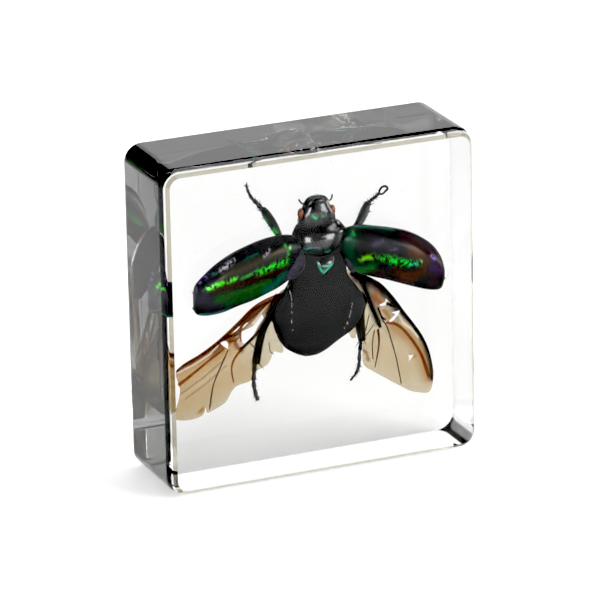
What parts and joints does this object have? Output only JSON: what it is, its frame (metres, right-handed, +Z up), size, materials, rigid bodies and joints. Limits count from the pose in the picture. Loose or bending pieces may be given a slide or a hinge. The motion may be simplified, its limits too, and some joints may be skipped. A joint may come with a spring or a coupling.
{
  "type": "insect in resin block",
  "caption": "Flying scarab beetle with spread wing cases and wings, sealed in a clear square resin block that stands on its edge.",
  "frame": {"origin": "centre of the block's footprint, on the surface it stands on", "axes": "+X to the right along the wide front face, +Y from the front face to the back face, +Z up along the beetle's body towards its head"},
  "size_m": [0.075, 0.0238, 0.076],
  "materials": {
    "clear_resin": "polished, water-clear",
    "beetle_shell": "glossy dark shell with a green sheen"
  },
  "bodies": {
    "root": {"resin_front": "clear_resin", "resin_back": "clear_resin", "beetle": "beetle_shell"}
  },
  "joints": []
}
